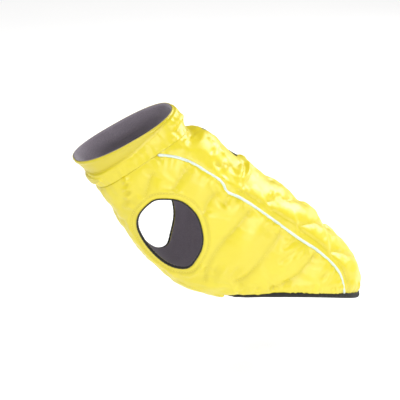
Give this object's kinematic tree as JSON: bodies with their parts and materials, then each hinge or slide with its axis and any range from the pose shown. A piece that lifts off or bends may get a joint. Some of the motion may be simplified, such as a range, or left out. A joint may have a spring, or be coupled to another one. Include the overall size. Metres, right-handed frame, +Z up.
{
  "type": "dog coat",
  "caption": "Quilted yellow dog coat in its worn form, hollow, with a tall collar, leash slit, reflective piping, bound armholes and an elastic hem",
  "frame": {"origin": "the inner face of the back panel, on the spine just behind the leash slit, where the coat rests on its wearer", "axes": "+Z up, the head end points along -X and the tail end along +X, the wearer's left side is -Y"},
  "size_m": [0.2975, 0.1084, 0.2153],
  "materials": {
    "shell": "satin woven nylon, quilted",
    "lining": "matt woven polyester",
    "piping": "retroreflective tape over cord",
    "binding": "matt ribbed elastic"
  },
  "bodies": {
    "root": {"back_panel": "shell", "side_panel_left": "shell", "side_panel_right": "shell", "collar": "shell", "throat_tab": "shell", "belly_lap": "shell", "collar_lining": "lining", "piping_left": "piping", "piping_right": "piping", "armhole_binding_left": "binding", "armhole_binding_right": "binding", "leash_slit_binding": "binding", "hem_binding": "binding"}
  },
  "joints": []
}
